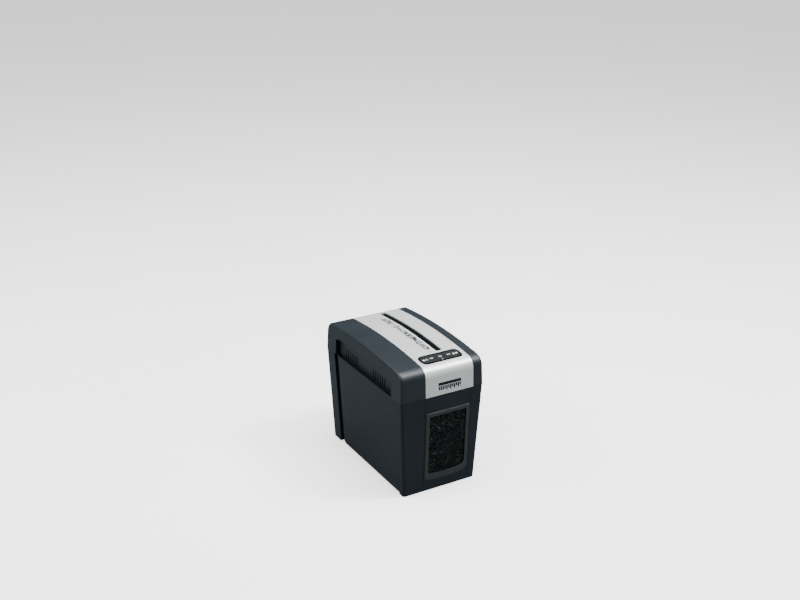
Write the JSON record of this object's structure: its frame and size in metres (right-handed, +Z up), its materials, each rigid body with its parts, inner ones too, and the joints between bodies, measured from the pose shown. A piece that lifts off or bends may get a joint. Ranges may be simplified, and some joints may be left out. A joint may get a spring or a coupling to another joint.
{
  "type": "paper shredder",
  "caption": "Compact desk-side micro-cut paper shredder: lift-off cutting head with a lengthways slot over a tapered bin with a smoked window.",
  "frame": {"origin": "on the floor, under the middle of the case", "axes": "+X to the right seen from the window side, +Y to the back, +Z up"},
  "size_m": [0.194, 0.324, 0.2872],
  "materials": {
    "black_abs": "fine-textured satin black moulded ABS",
    "bin_abs": "fine-textured satin black moulded ABS",
    "silver_paint": "metallic silver lacquer on moulded ABS",
    "smoked_window": "smoked clear plastic",
    "bezel_abs": "satin black moulded ABS",
    "panel_grey": "dark grey moulded ABS",
    "key_plastic": "dark grey moulded keys",
    "lens_plastic": "clear light guides",
    "rubber": "matt moulded rubber",
    "cutter_steel": "ground and oiled hardened steel",
    "plate_steel": "zinc-plated pressed steel",
    "bronze": "sintered bronze",
    "gear_nylon": "natural moulded nylon",
    "magnet": "ferrite",
    "board": "green laminate",
    "component": "black moulded components",
    "capacitor_can": "drawn aluminium can"
  },
  "bodies": {
    "bin": {"bin_shell": "bin_abs", "window_bezel": "bezel_abs", "window_pane": "smoked_window", "rubber_feet": "rubber", "interlock_tab": "bin_abs"},
    "cutter_a_shaft": {"cutter_a": "cutter_steel", "sync_gear_a": "cutter_steel", "drive_gear": "gear_nylon"},
    "cutter_b_shaft": {"cutter_b": "cutter_steel", "sync_gear_b": "cutter_steel"},
    "idler_one_gear": {"idler_one": "gear_nylon"},
    "idler_two_gear": {"idler_two": "gear_nylon"},
    "motor_rotor": {"motor_shaft": "cutter_steel", "motor_pinion": "bronze", "motor_armature": "cutter_steel"},
    "reverse_button": {"reverse_key": "key_plastic"},
    "power_button": {"power_key": "key_plastic"},
    "forward_button": {"forward_key": "key_plastic"},
    "head": {"head_shell": "black_abs", "fascia_cover": "silver_paint", "throat_guide": "black_abs", "control_bezel": "bezel_abs", "control_panel": "panel_grey", "control_board": "board", "tact_switches": "component", "stripper_left": "black_abs", "stripper_right": "black_abs", "front_plate": "plate_steel", "rear_plate": "plate_steel", "tie_rods": "plate_steel", "cutter_bushes": "bronze", "gear_studs": "plate_steel", "gear_plate": "plate_steel", "gear_pillars": "plate_steel", "motor_can": "plate_steel", "motor_magnets": "magnet", "head_base": "black_abs", "head_screws": "plate_steel", "power_board": "board", "board_posts": "black_abs", "run_capacitor": "capacitor_can", "board_transformer": "component", "interlock_switch": "component", "paper_sensor": "component", "cable_gland": "rubber", "warning_lens": "lens_plastic", "cooling_lens": "lens_plastic", "status_lens": "lens_plastic"}
  },
  "joints": [
    {"name": "head_lift", "type": "slide", "parent": "bin", "child": "head", "axis": [0, 0, 1], "range_m": [0, 0.15]},
    {"name": "reverse_press", "type": "slide", "parent": "head", "child": "reverse_button", "axis": [0, 0.1012, -0.9949], "range_m": [0, 0.0008], "stiffness_N_per_m": 250},
    {"name": "power_press", "type": "slide", "parent": "head", "child": "power_button", "axis": [0, 0.1012, -0.9949], "range_m": [0, 0.0008], "stiffness_N_per_m": 250},
    {"name": "forward_press", "type": "slide", "parent": "head", "child": "forward_button", "axis": [0, 0.1012, -0.9949], "range_m": [0, 0.0008], "stiffness_N_per_m": 250},
    {"name": "motor_spin", "type": "hinge", "parent": "head", "child": "motor_rotor", "pos_m": [-0.05514, -0.1, 0.24433], "axis": [0, 1, 0], "continuous": true},
    {"name": "idler_one_spin", "type": "hinge", "parent": "head", "child": "idler_one_gear", "pos_m": [-0.03124, -0.1, 0.2414], "axis": [0, 1, 0], "continuous": true},
    {"name": "idler_two_spin", "type": "hinge", "parent": "head", "child": "idler_two_gear", "pos_m": [-0.02222, -0.1, 0.21907], "axis": [0, 1, 0], "continuous": true},
    {"name": "cutter_a_spin", "type": "hinge", "parent": "head", "child": "cutter_a_shaft", "pos_m": [0.01146, -0.1, 0.232], "axis": [0, 1, 0], "continuous": true},
    {"name": "cutter_b_spin", "type": "hinge", "parent": "head", "child": "cutter_b_shaft", "pos_m": [0.04554, -0.1, 0.232], "axis": [0, 1, 0], "continuous": true}
  ],
  "couplings": [
    {"joint": "idler_one_spin", "follows": "motor_spin", "ratio": -0.21212},
    {"joint": "idler_two_spin", "follows": "motor_spin", "ratio": 0.064559},
    {"joint": "cutter_a_spin", "follows": "motor_spin", "ratio": -0.026583},
    {"joint": "cutter_b_spin", "follows": "motor_spin", "ratio": 0.026583}
  ]
}
